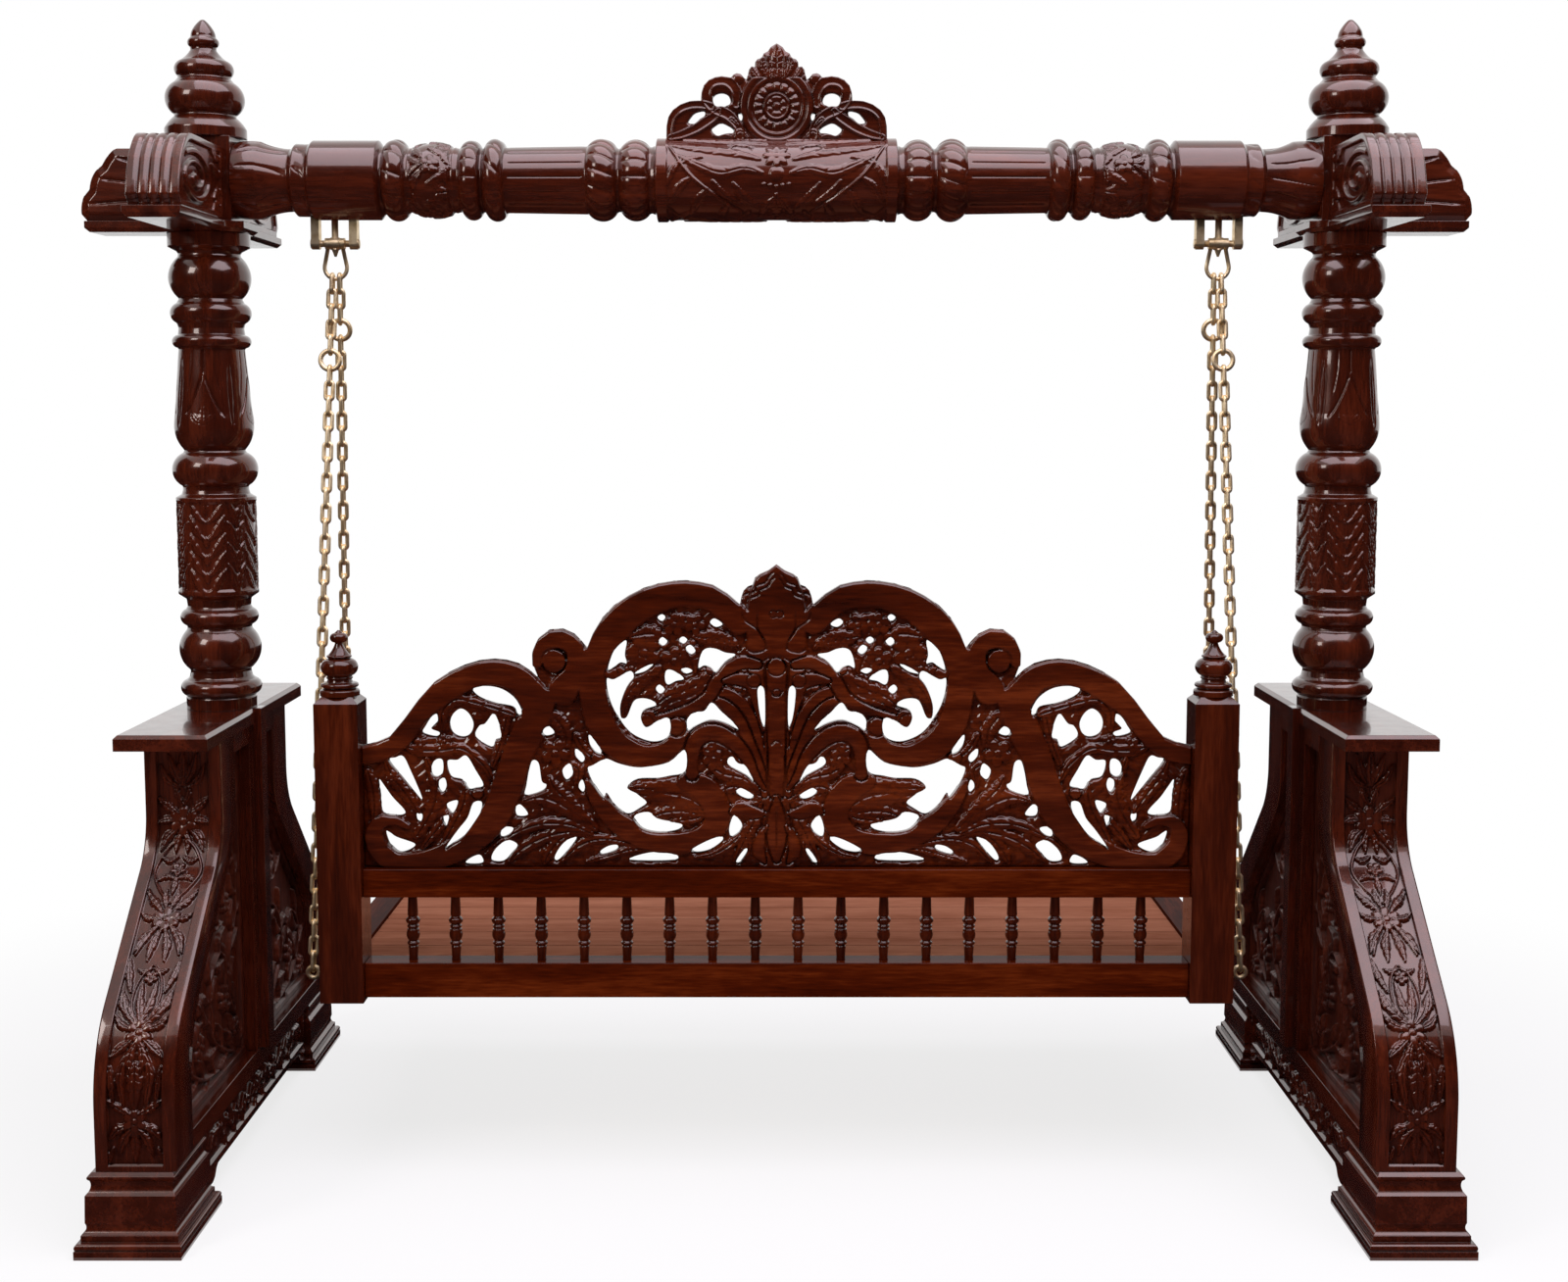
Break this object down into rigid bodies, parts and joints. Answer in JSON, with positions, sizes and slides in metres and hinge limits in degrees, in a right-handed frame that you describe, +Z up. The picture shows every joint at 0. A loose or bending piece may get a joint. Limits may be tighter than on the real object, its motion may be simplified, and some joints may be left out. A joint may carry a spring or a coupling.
{
  "type": "carved wooden swing",
  "caption": "A carved hardwood swing seat with a pierced back, hung by brass chains from a turned beam between two carved side stands.",
  "frame": {"origin": "on the floor, midway between the two stands and midway between their front and rear feet", "axes": "+X along the beam, +Y from the carved back towards the open front of the seat, +Z up"},
  "size_m": [2.4604, 1.12, 2.031],
  "materials": {
    "stand_wood": "dark red-brown hardwood under a thick gloss lacquer",
    "seat_wood": "red-brown hardwood with straight grain under a satin lacquer",
    "antique_brass": "polished antique brass, darker in the hollows"
  },
  "bodies": {
    "stand": {"apron_left": "stand_wood", "apron_right": "stand_wood", "beam": "stand_wood", "beam_crest": "stand_wood", "bracket_front_left": "stand_wood", "bracket_front_right": "stand_wood", "bracket_outer_left": "stand_wood", "bracket_outer_right": "stand_wood", "bracket_rear_left": "stand_wood", "bracket_rear_right": "stand_wood", "capital_block_left": "stand_wood", "capital_block_right": "stand_wood", "capital_finial_left": "stand_wood", "capital_finial_right": "stand_wood", "capital_plate_left": "stand_wood", "capital_plate_right": "stand_wood", "foot_front_left": "stand_wood", "foot_front_right": "stand_wood", "foot_rear_left": "stand_wood", "foot_rear_right": "stand_wood", "frame_rails_left": "stand_wood", "frame_rails_right": "stand_wood", "hook_pins": "antique_brass", "hook_staple_left": "antique_brass", "hook_staple_right": "antique_brass", "hook_tongues": "antique_brass", "leg_front_left": "stand_wood", "leg_front_right": "stand_wood", "leg_rear_left": "stand_wood", "leg_rear_right": "stand_wood", "middle_stile_left": "stand_wood", "middle_stile_right": "stand_wood", "post_left": "stand_wood", "post_right": "stand_wood", "side_panels_left": "stand_wood", "side_panels_right": "stand_wood", "stand_cap_left": "stand_wood", "stand_cap_right": "stand_wood"},
    "swing": {"back_finials": "seat_wood", "back_post_left": "seat_wood", "back_post_right": "seat_wood", "carved_back": "seat_wood", "chain_far_left": "antique_brass", "chain_far_right": "antique_brass", "chain_near_left": "antique_brass", "chain_near_right": "antique_brass", "deck": "seat_wood", "deck_battens": "seat_wood", "front_posts": "seat_wood", "front_rail": "seat_wood", "lower_rail": "seat_wood", "seat_eyes_left": "antique_brass", "seat_eyes_right": "antique_brass", "shackle_left": "antique_brass", "shackle_right": "antique_brass", "side_rails": "seat_wood", "spindles": "seat_wood", "upper_rail": "seat_wood"}
  },
  "joints": [
    {"name": "swing", "type": "hinge", "parent": "stand", "child": "swing", "pos_m": [0, 0, 1.64], "axis": [1, 0, 0], "range_deg": [-25, 25]}
  ]
}
